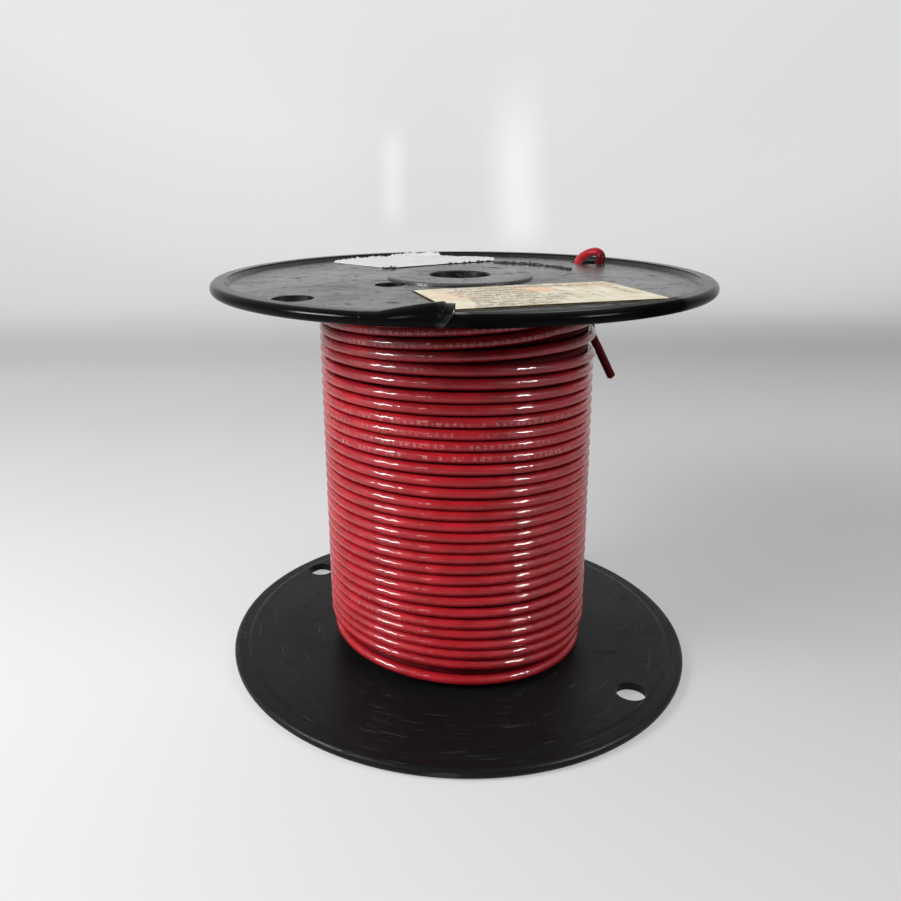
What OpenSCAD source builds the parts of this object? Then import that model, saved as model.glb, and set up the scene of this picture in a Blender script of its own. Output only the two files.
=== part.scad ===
// Wire spool: two moulded flanges on a plain barrel, part wound with insulated wire.
// Millimetres, +Z up. The origin is the centre of the bottom rim's face, where the spool stands.

/* [Flanges] */
// Diameter of each flange
flange_d = 165; // [158:1:190]
// Height from the face of the bottom rim to the face of the top rim
spool_h = 135.6; // [125:0.2:160]
// Thickness of a flange at its wire side, from the face of its rim
flange_t = 4.2; // [3.8:0.1:5.5]
// Thickness of the rim bead
bead_t = 3.7; // [3.6:0.1:5]
// Width of the rim bead across its face
bead_w = 4.8; // [4:0.1:7]
// Radius of the rounding on both edges of the bead
bead_round = 1.8; // [0.6:0.1:1.8]
// Width of the slope from the bead down to the web
bead_slope = 1.3; // [0.5:0.1:3]
// Depth of the web's outer face under the rim face, beside the hub
recess_hub = 0.9; // [0.4:0.1:1.2]
// Depth of the web's outer face under the rim face, beside the bead
recess_rim = 1.5; // [0.6:0.1:2]

/* [Hub] */
// Diameter of the raised pad round the arbor hole
hub_d = 48.8; // [46:0.2:49]
// Diameter of the arbor hole
arbor_d = 20.6; // [12:0.2:24]
// Wall of the boss round the arbor hole
boss_wall = 3.2; // [2:0.1:4.5]
// Height of the boss over the wire side of the flange
boss_h = 16; // [8:0.5:25]
// Chamfer at both mouths of the arbor hole
arbor_lead = 0.4; // [0.2:0.1:1]
// Diameter of the drive hole beside the hub
drive_d = 9.8; // [6:0.1:9.8]
// Radius at which the drive hole lies
drive_r = 29.5; // [29.5:0.1:30.5]
// Direction of the drive hole on the top flange
drive_angle = -142; // [-150:1:-138]
// Length of the oblong dimple in the pad
dimple_l = 9; // [6:0.5:12]
// Width of the oblong dimple
dimple_w = 2.2; // [1:0.1:3]
// Depth of the oblong dimple
dimple_h = 1; // [0.4:0.1:1.6]
// Radius at which the dimple lies
dimple_r = 23; // [20:0.5:23]
// Direction of the dimple on the top flange
dimple_angle = 55; // [40:1:70]

/* [Tail holes] */
// Diameter of the top flange's holes near the rim that hold the end of the wire
tail_hole_d = 12.4; // [12.4:0.1:12.8]
// Direction of the hole that the wire goes through
tail_hole_angle = 40.8; // [40.5:0.1:41.1]
// Distance from the edge of the top flange to the centre of that hole
top_hole_in = 13; // [12.8:0.1:13.2]
// Direction of the top flange's other hole
spare_hole_angle = 220.2; // [215:0.1:225]
// Distance from the edge of the top flange to the centre of its other hole
spare_hole_in = 15.6; // [14:0.1:17]
// Diameter of the bottom flange's two holes near the rim
base_hole_d = 10.2; // [8:0.2:10.2]
// Direction of the bottom flange's first hole
base_hole_angle = -39.4; // [-45:0.2:-35]
// Distance from the edge of the bottom flange to the centre of its holes
base_hole_in = 11.3; // [11.3:0.1:18.5]

/* [Barrel] */
// Outer diameter of the barrel
barrel_d = 80; // [79.4:0.2:82]
// Wall of the barrel
barrel_wall = 2.5; // [1.8:0.1:2.8]
// Height of the ring on each flange that centres the barrel
spigot_h = 9; // [4:0.5:15]
// Wall of that ring
spigot_wall = 2; // [1.5:0.1:2.4]
// Clearance between the ring and the barrel
spigot_gap = 0.15; // [0.1:0.05:0.3]
// Number of ribs between the ring and the boss
rib_count = 6; // [3:3:6]
// Thickness of a rib
rib_t = 2; // [1.2:0.1:3]

/* [Wire] */
// Diameter of the wire over its insulation
wire_d = 3.3; // [2.6:0.1:3.6]
// Depth of the turns under the outermost layer
core_t = 2.3; // [1.5:0.1:3.5]
// Loops of the outermost layer
loops = 24; // [12:1:24]
// Space between the end loops and the flanges
end_gap = 0.25; // [0.2:0.05:0.6]
// Space between the outermost layer and the turns under it
layer_gap = 0.5; // [0.45:0.05:1]
// Space between the innermost turns and the barrel
core_gap = 0.1; // [0.05:0.05:0.3]
// Diameter of one strand of the conductor
strand_d = 0.46; // [0.3:0.02:0.5]
// Length of bare strand past the cut end
strand_l = 0.6; // [0.3:0.1:2]

/* [Labels] */
// Length of the paper label
label_l = 61.5; // [50:0.5:64]
// Width of the paper label
label_w = 36; // [28:0.5:37]
// Thickness of the label paper
paper_t = 0.15; // [0.1:0.05:0.3]
// Turn of the label about its centre
label_turn = 15.5; // [13:0.5:18]

/* [Hidden] */

$fn = 96;
plastic = [0.13, 0.13, 0.14];
insulation = [0.72, 0.13, 0.18];
copper = [0.8, 0.45, 0.28];
cream = [0.9, 0.85, 0.74];
white = [0.93, 0.93, 0.91];

flange_r = flange_d / 2;
hub_r = hub_d / 2;
arbor_r = arbor_d / 2;
boss_r = arbor_r + boss_wall;
web_r = flange_r - bead_w - bead_slope;
bead_in = flange_r - bead_w;
pad_edge = 0.3;
shoulder_w = 1.5;
spigot_r = barrel_d / 2 - barrel_wall - spigot_gap;
spigot_in = spigot_r - spigot_wall;
spigot_lead = 0.6;
boss_top = flange_t + boss_h;
spigot_top = flange_t + spigot_h;
cut = 1;

top_hole_r = flange_r - top_hole_in;
spare_hole_r = flange_r - spare_hole_in;
base_hole_r = flange_r - base_hole_in;
// Holes near the rim of each flange, as [direction, radius, diameter]
top_holes = [[tail_hole_angle, top_hole_r, tail_hole_d],
             [spare_hole_angle, spare_hole_r, tail_hole_d]];
base_holes = [for (turn = [0, 180]) [-base_hole_angle + turn, base_hole_r, base_hole_d]];

wire_r = wire_d / 2;
core_in = barrel_d / 2 + core_gap;
core_r = core_in + core_t;
drum_r = core_r + layer_gap + wire_r;
first_z = flange_t + wire_r + end_gap;
last_z = spool_h - flange_t - wire_r - end_gap;
pitch = (last_z - first_z) / loops;

loop_rings = 24;
turn_sides = 6;
tail_sides = 8;
tail_steps = 4;

// The last loop leaves the drum where a straight line from it reaches the tail hole.
leave_angle = tail_hole_angle + acos(drum_r / top_hole_r);

// Way of the free end: off the drum, up through the tail hole, over in a small loop, back
// down through the same hole and on to the cut end.
tail_points = [
    [12, 44.8, 129.6], [19.5, 45, 129], [27, 44.8, 127.2], [34, 44.4, 125.2], [40.2, 44.4, 124.4],
    [44.9, 45, 126], [47.8, 46, 128.6], [48.9, 46.7, 131.4], [49.6, 47.3, 134.2],
    [50.9, 47.5, 136], [52.6, 47.2, 137.2], [54.4, 46.7, 138], [56, 46, 138.3],
    [57.3, 45.4, 137.8], [58, 44.9, 136.6], [57.2, 44.5, 135], [56.6, 44.2, 133.3],
    [56.2, 43.8, 131.2], [55.8, 43.2, 126.5], [55, 43, 119], [54.6, 43, 112],
    [55.6, 43, 106.3], [58.3, 43, 100.9], [60.7, 43, 96.2], [62.7, 43, 92.3]
];

// Centre of the paper label on the top flange
label_at = [19.2, -40.5];

// What is left of the older label: a square corner towards the hub, torn along the rim
torn_outline = [
    [-23, 23.8], [17.9, 58.8], [15.4, 62], [14.6, 67], [10.2, 69.5], [8.4, 74.6], [2.5, 76],
    [-3, 78.8], [-8, 78.2], [-13.6, 78.4], [-17, 75.9], [-24, 75], [-30, 71.4], [-36.6, 68.8],
    [-40.5, 64.4], [-45.2, 61], [-46.7, 54.1]
];

function unit(v) = v / norm(v);

function arc(c, r, from, to, n) =
    [for (i = [0 : n]) c + r * [cos(from + (to - from) * i / n), sin(from + (to - from) * i / n)]];

// Height of a flange's outer face at a radius, over the face of its rim, inwards positive
function face_z(r) =
    r <= web_r ? recess_hub + (recess_rim - recess_hub) * (r - hub_r) / (web_r - hub_r)
    : r <= bead_in ? recess_rim * (bead_in - r) / bead_slope
    : 0;

// Half section of a flange, outer face down, as [radius, height]
function flange_section() = concat(
    [[arbor_r, arbor_lead], [arbor_r + arbor_lead, 0], [hub_r - pad_edge, 0], [hub_r, pad_edge],
     [hub_r, recess_hub], [web_r, recess_rim], [bead_in, 0]],
    arc([flange_r - bead_round, bead_round], bead_round, -90, 0, 8),
    arc([flange_r - bead_round, bead_t - bead_round], bead_round, 0, 90, 8),
    [[bead_in, bead_t], [bead_in - shoulder_w, flange_t],
     [spigot_r, flange_t], [spigot_r, spigot_top - spigot_lead],
     [spigot_r - spigot_lead, spigot_top], [spigot_in, spigot_top], [spigot_in, flange_t],
     [boss_r, flange_t], [boss_r, boss_top], [arbor_r + arbor_lead, boss_top],
     [arbor_r, boss_top - arbor_lead]]
);

module at_angle(angle, r) {
    rotate([0, 0, angle])
        translate([r, 0, 0])
            children();
}

module rib() {
    translate([boss_r - rib_t / 2, -rib_t / 2, flange_t - rib_t / 2])
        cube([spigot_in - boss_r + rib_t, rib_t, spigot_h + rib_t / 2]);
}

module through_hole(d) {
    translate([0, 0, -cut])
        cylinder(h = flange_t + 2 * cut, d = d);
}

module dimple() {
    span = dimple_l - dimple_w;
    translate([0, 0, -cut]) {
        translate([-dimple_w / 2, -span / 2, 0])
            cube([dimple_w, span, dimple_h + cut]);
        for (side = [-1, 1])
            translate([0, side * span / 2, 0])
                cylinder(h = dimple_h + cut, d = dimple_w);
    }
}

// One moulded flange with its outer face down; seen from there, angles run clockwise
module flange(holes) {
    difference() {
        union() {
            rotate_extrude()
                polygon(flange_section());
            for (i = [0 : rib_count - 1])
                rotate([0, 0, 30 - drive_angle + i * 360 / rib_count])
                    rib();
        }
        for (hole = holes)
            at_angle(-hole[0], hole[1])
                through_hole(hole[2]);
        at_angle(-drive_angle, drive_r)
            through_hole(drive_d);
        at_angle(-dimple_angle, dimple_r)
            dimple();
    }
}

module bottom_flange() {
    color(plastic)
        flange(base_holes);
}

module top_flange() {
    color(plastic)
        translate([0, 0, spool_h])
            rotate([180, 0, 0])
                flange(top_holes);
}

// Ring between two radii and two heights
module ring(r_out, r_in, z0, z1) {
    translate([0, 0, z0])
        difference() {
            cylinder(h = z1 - z0, r = r_out);
            translate([0, 0, -cut])
                cylinder(h = z1 - z0 + 2 * cut, r = r_in);
        }
}

module barrel() {
    color(plastic)
        ring(barrel_d / 2, barrel_d / 2 - barrel_wall, flange_t, spool_h - flange_t);
}

// The turns under the outermost layer, as one plain core
module inner_turns() {
    color(insulation)
        ring(core_r, core_in, flange_t, spool_h - flange_t);
}

// Axis of the outermost layer: a left-handed helix that climbs to the top flange
function drum_point(i) =
    let (a = leave_angle - 360 * (i / loop_rings - loops))
    [drum_r * cos(a), drum_r * sin(a), first_z + pitch * i / loop_rings];
last_ring = loops * loop_rings;
wound_axis = [for (i = [0 : last_ring]) drum_point(i)];
lead_in = unit(wound_axis[0] - wound_axis[1]) * wire_d;
lead_out = unit(wound_axis[last_ring] - wound_axis[last_ring - 1]) * wire_d;
turns_axis = concat([wound_axis[0] + lead_in], wound_axis, [wound_axis[last_ring] + lead_out]);
tail_start = turns_axis[last_ring + 2];

// Catmull-Rom point between b and c
function between(a, b, c, d, t) =
    0.5 * (2 * b + (c - a) * t + (2 * a - 5 * b + 4 * c - d) * t * t
           + (3 * b - a - 3 * c + d) * t * t * t);
function smooth(p, steps) = concat(
    [for (i = [1 : len(p) - 3]) for (s = [0 : steps - 1])
        between(p[i - 1], p[i], p[i + 1], p[i + 2], s / steps)],
    [p[len(p) - 2]]
);
tail_last = tail_points[len(tail_points) - 1];
tail_end_way = unit(tail_last - tail_points[len(tail_points) - 2]);
tail_knots = concat([tail_start, tail_start + lead_out], tail_points,
                    [tail_last + tail_end_way * wire_d]);
tail_axis = concat([tail_start], smooth(tail_knots, tail_steps),
                   [tail_last + tail_end_way * wire_d]);
tail_end = tail_axis[len(tail_axis) - 1];

function way(p, i) = unit(p[min(i + 1, len(p) - 1)] - p[max(i - 1, 0)]);
function square_to(n, t) = unit(n - (n * t) * t);
// One direction across the tube at each ring, carried along without twist
function carried(p, start) =
    [for (i = 0, n = square_to(start, way(p, 0)); i < len(p);
          i = i + 1, n = i < len(p) ? square_to(n, way(p, i)) : n) n];

// Round tube along a line, closed at both ends
module tube(p, d, sides, start) {
    across = carried(p, start);
    rings = [for (i = [0 : len(p) - 1])
        let (t = way(p, i), u = across[i], v = cross(t, u))
        for (k = [0 : sides - 1])
            p[i] + d / 2 * (cos(360 * k / sides) * u + sin(360 * k / sides) * v)];
    skin = [for (i = [0 : len(p) - 2]) for (k = [0 : sides - 1])
        let (a = i * sides + k, b = i * sides + (k + 1) % sides)
        for (f = [[a, a + sides, b], [b, a + sides, b + sides]]) f];
    end = (len(p) - 1) * sides;
    caps = [for (k = [1 : sides - 2]) for (f = [[0, k, k + 1], [end, end + k + 1, end + k]]) f];
    polyhedron(points = rings, faces = concat(skin, caps));
}

module outer_turns() {
    color(insulation)
        tube(turns_axis, wire_d, turn_sides, wound_axis[0] - [0, 0, first_z]);
}

module wire_tail() {
    color(insulation)
        tube(tail_axis, wire_d, tail_sides, [0, 0, 1]);
}

// Nineteen round strands: one, six round it and twelve round those
module tail_conductor() {
    turn_z = atan2(tail_end_way[1], tail_end_way[0]);
    tilt = acos(tail_end_way[2]);
    color(copper)
        translate(tail_end)
            rotate([0, tilt, turn_z]) {
                cylinder(h = strand_l, d = strand_d, $fn = 24);
                for (layer = [1, 2])
                    for (i = [0 : 6 * layer - 1])
                        at_angle(60 * i / layer, 1.02 * strand_d * layer)
                            cylinder(h = strand_l, d = strand_d, $fn = 24);
            }
}

// Paper that lies on the outer face of the top flange, between two radii
module face_paper(r_in, r_out) {
    stops = concat([r_in], [for (r = [web_r, bead_in]) if (r > r_in && r < r_out) r], [r_out]);
    translate([0, 0, spool_h])
        rotate([180, 0, 0])
            rotate_extrude()
                polygon(concat(
                    [for (r = stops) [r, face_z(r)]],
                    [for (i = [len(stops) - 1 : -1 : 0]) [stops[i], face_z(stops[i]) - paper_t]]
                ));
}

module product_label() {
    color(cream)
        intersection() {
            face_paper(hub_r + pad_edge, web_r);
            translate([label_at[0], label_at[1], spool_h - flange_t])
                rotate([0, 0, label_turn])
                    translate([-label_l / 2, -label_w / 2, 0])
                        cube([label_l, label_w, 2 * flange_t]);
        }
}

module torn_label() {
    color(white)
        intersection() {
            face_paper(hub_r + pad_edge, flange_r - bead_round);
            translate([0, 0, spool_h - flange_t])
                linear_extrude(height = 2 * flange_t)
                    polygon(torn_outline);
        }
}

// Least gap of the winding to itself, and of the free end to itself, measured on their points
function far_from(p, i, skip) =
    min([for (j = [i + skip : min(len(p) - 1, i + 3 * skip)]) norm(p[i] - p[j])]);
turns_gap = min([for (i = [0 : len(turns_axis) - 1 - 20]) far_from(turns_axis, i, 20)]) - wire_d;
tail_gap = min([for (i = [0 : len(tail_axis) - 1 - 14]) far_from(tail_axis, i, 14)]) - wire_d;
echo(turns_gap = turns_gap, tail_gap = tail_gap, loops = loops, pitch = pitch);

bottom_flange();
top_flange();
barrel();
inner_turns();
outer_turns();
wire_tail();
tail_conductor();
product_label();
torn_label();
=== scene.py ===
import math
import random

import bmesh
import bpy
import numpy as np
from mathutils import Matrix, Vector, noise


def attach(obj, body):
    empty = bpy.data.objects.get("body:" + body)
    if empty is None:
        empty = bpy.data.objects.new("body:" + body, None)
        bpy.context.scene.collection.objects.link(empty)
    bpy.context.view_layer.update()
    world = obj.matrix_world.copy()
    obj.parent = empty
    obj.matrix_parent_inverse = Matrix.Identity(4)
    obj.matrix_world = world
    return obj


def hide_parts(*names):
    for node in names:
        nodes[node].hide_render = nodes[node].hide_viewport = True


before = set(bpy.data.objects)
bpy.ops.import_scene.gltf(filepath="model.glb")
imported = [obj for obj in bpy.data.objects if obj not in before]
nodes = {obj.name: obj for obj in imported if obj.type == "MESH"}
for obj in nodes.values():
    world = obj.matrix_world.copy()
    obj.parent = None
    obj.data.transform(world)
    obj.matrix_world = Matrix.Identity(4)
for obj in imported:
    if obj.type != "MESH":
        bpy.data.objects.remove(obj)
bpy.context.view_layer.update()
scene = bpy.context.scene
mm = 0.001

# The camera, and then the wire's free end, come before all other pieces
viewpoint = {
    "place": (-0.02002, -0.28764, 0.17035),
    "pitchDown": 0.2879,      # radians below level
    "roll": -0.0076,
    "lens": 33.93,
    "sensor": 36.0,
    "shift": (0.05476, -0.03576),
}


def addObject(name, data):
    made = bpy.data.objects.new(name, data)
    scene.collection.objects.link(made)
    return made


def placeCamera():
    data = bpy.data.cameras.new("viewCamera")
    data.sensor_width = viewpoint["sensor"]
    data.lens = viewpoint["lens"]
    data.shift_x, data.shift_y = viewpoint["shift"]
    data.clip_start = 0.01
    camera = addObject("viewCamera", data)
    camera.matrix_world = (Matrix.Translation(viewpoint["place"])
                           @ Matrix.Rotation(math.pi / 2 - viewpoint["pitchDown"], 4, "X")
                           @ Matrix.Rotation(viewpoint["roll"], 4, "Z"))
    scene.camera = camera


placeCamera()
scene.view_settings.view_transform = "Standard"
print("camera placed")


# Short ways to build node trees
class Signal:
    # What comes out of a node. Sums and products of signals make Math nodes
    def __init__(self, socket):
        self.socket = socket
        self.tree = socket.id_data

    def calc(self, operation, *values):
        return addSignal(self.tree, "ShaderNodeMath", dict(enumerate((self, *values))),
                         operation=operation)

    def __add__(self, other):
        return self.calc("ADD", other)

    def __sub__(self, other):
        return self.calc("SUBTRACT", other)

    def __mul__(self, other):
        return self.calc("MULTIPLY", other)

    def __truediv__(self, other):
        return self.calc("DIVIDE", other)

    def scaled(self, factor, offset):
        return self.calc("MULTIPLY_ADD", factor, offset)

    def step(self, low, high, toLow=0.0, toHigh=1.0):
        return addSignal(self.tree, "ShaderNodeMapRange", {
            "Value": self, "From Min": low, "From Max": high, "To Min": toLow, "To Max": toHigh,
        }, interpolation_type="SMOOTHSTEP")

    def blend(self, first, second):
        return mixColors(self.tree, self, first, second)

    def tinted(self, color):
        return mixColors(self.tree, 1.0, self, color, "MULTIPLY")

    def clouds(self, scale, detail=3.0, roughness=0.55, distortion=0.0):
        return addSignal(self.tree, "ShaderNodeTexNoise", {
            "Vector": self, "Scale": scale, "Detail": detail, "Roughness": roughness,
            "Distortion": distortion})

    def bump(self, strength, distance, under=None):
        # A bump on top of another one
        return addSignal(self.tree, "ShaderNodeBump", {
            "Height": self, "Strength": strength, "Distance": distance,
            **({"Normal": under} if under else {})})

    def split(self):
        made = addNode(self.tree, "ShaderNodeSeparateXYZ", {"Vector": self})
        return [Signal(socket) for socket in made.outputs]

    def through(self, group, **inputs):
        # Sends a point through one of the shared effects
        return outputsOf(addNode(self.tree, "ShaderNodeGroup", {"Vector": self, **inputs},
                                 node_tree=group))


def feed(value, socket):
    if isinstance(value, Signal):
        socket.id_data.links.new(value.socket, socket)
    else:
        socket.default_value = value


def addNode(tree, kind, inputs=None, **settings):
    made = tree.nodes.new(kind)
    for name, value in settings.items():
        setattr(made, name, value)
    for key, value in (inputs or {}).items():
        feed(value, made.inputs[key])
    return made


def addSignal(tree, kind, inputs=None, output=0, **settings):
    return Signal(addNode(tree, kind, inputs, **settings).outputs[output])


def outputsOf(node):
    return {socket.name: Signal(socket) for socket in node.outputs}


def mixColors(tree, factor, first, second, mode="MIX"):
    return addSignal(tree, "ShaderNodeMix", {0: factor, 6: first, 7: second}, 2,
                     data_type="RGBA", blend_type=mode)


def joinVector(x, y, z):
    return addSignal(x.tree, "ShaderNodeCombineXYZ", {0: x, 1: y, 2: z})


def axisDistance(x, y):
    return x.scaled(x, y * y).calc("SQRT")


def newGroup(name, inputs):
    # A shared effect. An input without a value is a vector
    tree = bpy.data.node_groups.new(name, "ShaderNodeTree")
    for label, value in inputs.items():
        kind = "NodeSocketVector" if value is None else "NodeSocketFloat"
        socket = tree.interface.new_socket(label, in_out="INPUT", socket_type=kind)
        if value is not None:
            socket.default_value = value
    return tree, outputsOf(addNode(tree, "NodeGroupInput"))


def closeGroup(tree, outputs):
    for label in outputs:
        tree.interface.new_socket(label, in_out="OUTPUT", socket_type="NodeSocketFloat")
    addNode(tree, "NodeGroupOutput", outputs)
    return tree


def newMaterial(name):
    material = bpy.data.materials.new(name)
    material.use_nodes = True
    return material, material.node_tree


def finishMaterial(material, inputs):
    shader = material.node_tree.nodes["Principled BSDF"]
    for label, value in inputs.items():
        feed(value, shader.inputs[label])
    return material


def objectPoint(tree):
    return addSignal(tree, "ShaderNodeTexCoord", output="Object")


def attributeOf(tree, name, output="Fac"):
    return addSignal(tree, "ShaderNodeAttribute", output=output, attribute_name=name)


def buildGrime():
    # Soft patches broken up by finer ones, for dust, film and stains
    tree, into = newGroup("grime", {"Vector": None, "Scale": 40.0, "Low": 0.45, "High": 0.75})
    coarse = into["Vector"].clouds(into["Scale"], 4.0, 0.6, 0.4)
    fine = into["Vector"].clouds(into["Scale"] * 7.0, 3.0, 0.7)
    mixed = fine.scaled(0.3, coarse * 0.7)
    return closeGroup(tree, {"Mask": mixed.step(into["Low"], into["High"])})


def buildScratches():
    # Thin scratches round an axis: the noise is drawn out along the angle
    tree, into = newGroup("turnedScratches", {
        "Vector": None, "Across": 900.0, "Along": 2.0, "Limit": 0.66})
    x, y = into["Vector"].split()[:2]
    radius = axisDistance(x, y)
    drawn = joinVector(x / radius * into["Along"], y / radius * into["Along"],
                       radius * into["Across"])
    lines = drawn.clouds(1.0, 2.0, 0.6)
    mask = lines.step(into["Limit"], into["Limit"] + 0.06)
    return closeGroup(tree, {"Mask": mask, "Height": lines})


def buildPaperGrain():
    # Fibre of the paper: a small height and a slight change of tone
    tree, into = newGroup("paperGrain", {"Vector": None, "Scale": 900.0})
    fibre = into["Vector"].clouds(into["Scale"], 4.0, 0.7, 0.6)
    cloud = into["Vector"].clouds(into["Scale"] * 0.08, 3.0, 0.6)
    return closeGroup(tree, {"Tone": fibre.scaled(0.4, cloud * 0.6), "Height": fibre})


grime = buildGrime()
scratches = buildScratches()
paperGrain = buildPaperGrain()
print("shared effects built")

# Sizes that all pieces share, in millimetres
spool = {
    "height": 135.6,
    "flangeThick": 4.2,
    "beadInner": 77.7,
    "beadDeep": 3.7,
    "webRadius": 76.4,
    "hubRadius": 24.4,
    "recessHub": 0.9,
    "recessRim": 1.5,
    "holeAngle": 40.8,
    "holeRadius": 69.5,
    "wire": 3.3,
    "drumRadius": 44.55,
    "loops": 24,
    "ringsPerLoop": 24,
    "endGap": 0.25,
}


def faceHeight(r):
    # Height of the top flange's outer face at a radius, in millimetres
    top = spool["height"]
    if r <= spool["webRadius"]:
        share = (r - spool["hubRadius"]) / (spool["webRadius"] - spool["hubRadius"])
        return top - spool["recessHub"] - (spool["recessRim"] - spool["recessHub"]) * share
    if r <= spool["beadInner"]:
        slope = spool["beadInner"] - spool["webRadius"]
        return top - spool["recessRim"] * (spool["beadInner"] - r) / slope
    return top


def lowestTurn(gap):
    # Height of a turn's middle that lies on the bottom flange, that gap above it
    return spool["flangeThick"] + spool["wire"] / 2 + gap


def leavingPoint(stepsBack):
    # Where the CAD winding lies, that many of its rings before it leaves the drum
    leave = spool["holeAngle"] + math.degrees(
        math.acos(spool["drumRadius"] / spool["holeRadius"]))
    low = lowestTurn(spool["endGap"])
    high = spool["height"] - low
    angle = math.radians(leave + 360 / spool["ringsPerLoop"] * stepsBack)
    z = high - (high - low) / spool["loops"] / spool["ringsPerLoop"] * stepsBack
    return Vector((spool["drumRadius"] * math.cos(angle),
                   spool["drumRadius"] * math.sin(angle), z))


def newMesh(name, points, faces=(), edges=(), **kept):
    # kept holds one value for each point, by name
    mesh = bpy.data.meshes.new(name)
    mesh.from_pydata([tuple(p) for p in points], edges, faces)
    for label, values in kept.items():
        mesh.attributes.new(label, "FLOAT", "POINT").data.foreach_set(
            "value", np.asarray(values, np.float32))
    for polygon in mesh.polygons:
        polygon.use_smooth = True
    return mesh


def tubeFaces(rings, count):
    # Quads between each ring of points and the next
    return [(k * count + j, (k + 1) * count + j, (k + 1) * count + (j + 1) % count,
             k * count + (j + 1) % count) for k in range(rings - 1) for j in range(count)]


def newShape(name, inputs):
    # A geometry tree that takes a mesh, named sizes and a material
    tree = bpy.data.node_groups.new(name, "GeometryNodeTree")
    for label, kind in {"Geometry": "Geometry", **inputs, "Material": "Material"}.items():
        tree.interface.new_socket(label, in_out="INPUT", socket_type="NodeSocket" + kind)
    tree.interface.new_socket("Geometry", in_out="OUTPUT", socket_type="NodeSocketGeometry")
    return tree, outputsOf(addNode(tree, "NodeGroupInput"))


def closeShape(tree, shape, material):
    real = addSignal(tree, "GeometryNodeRealizeInstances", {"Geometry": shape})
    painted = addSignal(tree, "GeometryNodeSetMaterial", {"Geometry": real, "Material": material})
    addNode(tree, "NodeGroupOutput", {"Geometry": painted})
    return tree


def capture(line, label, output):
    # Keeps a line's own factor or length at each of its points
    value = addSignal(line.tree, "GeometryNodeSplineParameter", output=output)
    made = addNode(line.tree, "GeometryNodeCaptureAttribute")
    made.capture_items.new("FLOAT", label)
    feed(line, made.inputs[0])
    feed(value, made.inputs[1])
    return Signal(made.outputs[0]), Signal(made.outputs[1])


def buildSweep(name, normalMode):
    # Sweeps a circle along a line, and keeps how far along and how far round each point is
    tree, into = newShape(name, {"Wire Radius": "Float", "Sides": "Int"})
    line = addSignal(tree, "GeometryNodeMeshToCurve", {"Mesh": into["Geometry"]})
    line = addSignal(tree, "GeometryNodeSetCurveNormal", {"Curve": line}, mode=normalMode)
    line, along = capture(line, "along", "Length")
    ring = addSignal(tree, "GeometryNodeCurvePrimitiveCircle", {
        "Resolution": into["Sides"], "Radius": into["Wire Radius"]})
    ring, around = capture(ring, "around", "Factor")
    tube = addSignal(tree, "GeometryNodeCurveToMesh", {
        "Curve": line, "Profile Curve": ring, "Fill Caps": True})
    angle = around * (2 * math.pi)
    way = joinVector(angle.calc("COSINE"), angle.calc("SINE"), 0.0)
    for label, kind, value in (("along", "FLOAT", along), ("around", "FLOAT_VECTOR", way)):
        tube = addSignal(tree, "GeometryNodeStoreNamedAttribute", {
            "Geometry": tube, "Name": label, "Value": value}, data_type=kind, domain="POINT")
    smooth = addSignal(tree, "GeometryNodeSetShadeSmooth", {"Geometry": tube})
    return closeShape(tree, smooth, into["Material"])


def runTree(name, source, tree, values):
    # Runs a geometry tree on a mesh and keeps the result as a plain mesh object
    holder = addObject(name + "Source", source)
    modifier = holder.modifiers.new("shape", "NODES")
    modifier.node_group = tree
    for item in tree.interface.items_tree:
        if item.item_type == "SOCKET" and item.in_out == "INPUT" and item.name in values:
            modifier[item.identifier] = values[item.name]
    bpy.context.view_layer.update()
    evaluated = holder.evaluated_get(bpy.context.evaluated_depsgraph_get())
    mesh = bpy.data.meshes.new_from_object(evaluated)
    holder.modifiers.clear()
    bpy.data.objects.remove(holder)
    mesh.name = name
    return addObject(name, mesh)


def carry(piece, nodeName=None):
    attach(piece, "root")
    if nodeName:
        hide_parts(nodeName)


def addPiece(name, mesh, material):
    mesh.materials.append(material)
    made = addObject(name, mesh)
    carry(made)
    return made


def addWire(name, nodeName, line, sweep, sides, material, **kept):
    # A wire along a line of points in metres, in place of a CAD node
    edges = [(i, i + 1) for i in range(len(line) - 1)]
    made = runTree(name, newMesh(name, line, edges=edges, **kept), sweep, {
        "Wire Radius": spool["wire"] / 2 * mm, "Sides": sides, "Material": material})
    carry(made, nodeName)
    return made


windingSweep = buildSweep("windingSweep", "Z_UP")
freeSweep = buildSweep("freeSweep", "MINIMUM_TWIST")
print("sweeps built")

# The insulation: glossy clear jacket over red, with the lay of the strands showing through
insulation = {
    "red": (0.41, 0.008, 0.017, 1.0),
    "deepRed": (0.27, 0.005, 0.01, 1.0),
    # painted shade: the dark red and weaker coat and shine of the free end, for the shadow it lies
    # in
    "shadedRed": (0.06, 0.0005, 0.003, 1.0),
    "print": (0.46, 0.22, 0.23, 1.0),
    "haze": (0.38, 0.24, 0.25, 1.0),
    "coat": 0.8,
    "shadedCoat": 0.06,
    "shine": 0.18,
    "shadedShine": 0.04,
    "ringSize": 0.0016,       # radius at which the patterns go round
    "dashLength": 0.0021,
    "bandHalf": (0.5, 0.36),  # half width of the print, in radians round the wire
    "layLength": 0.03,
    "strandsShown": 7,
    "ripple": 0.000012,
    "dent": 0.00016,
}


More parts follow.
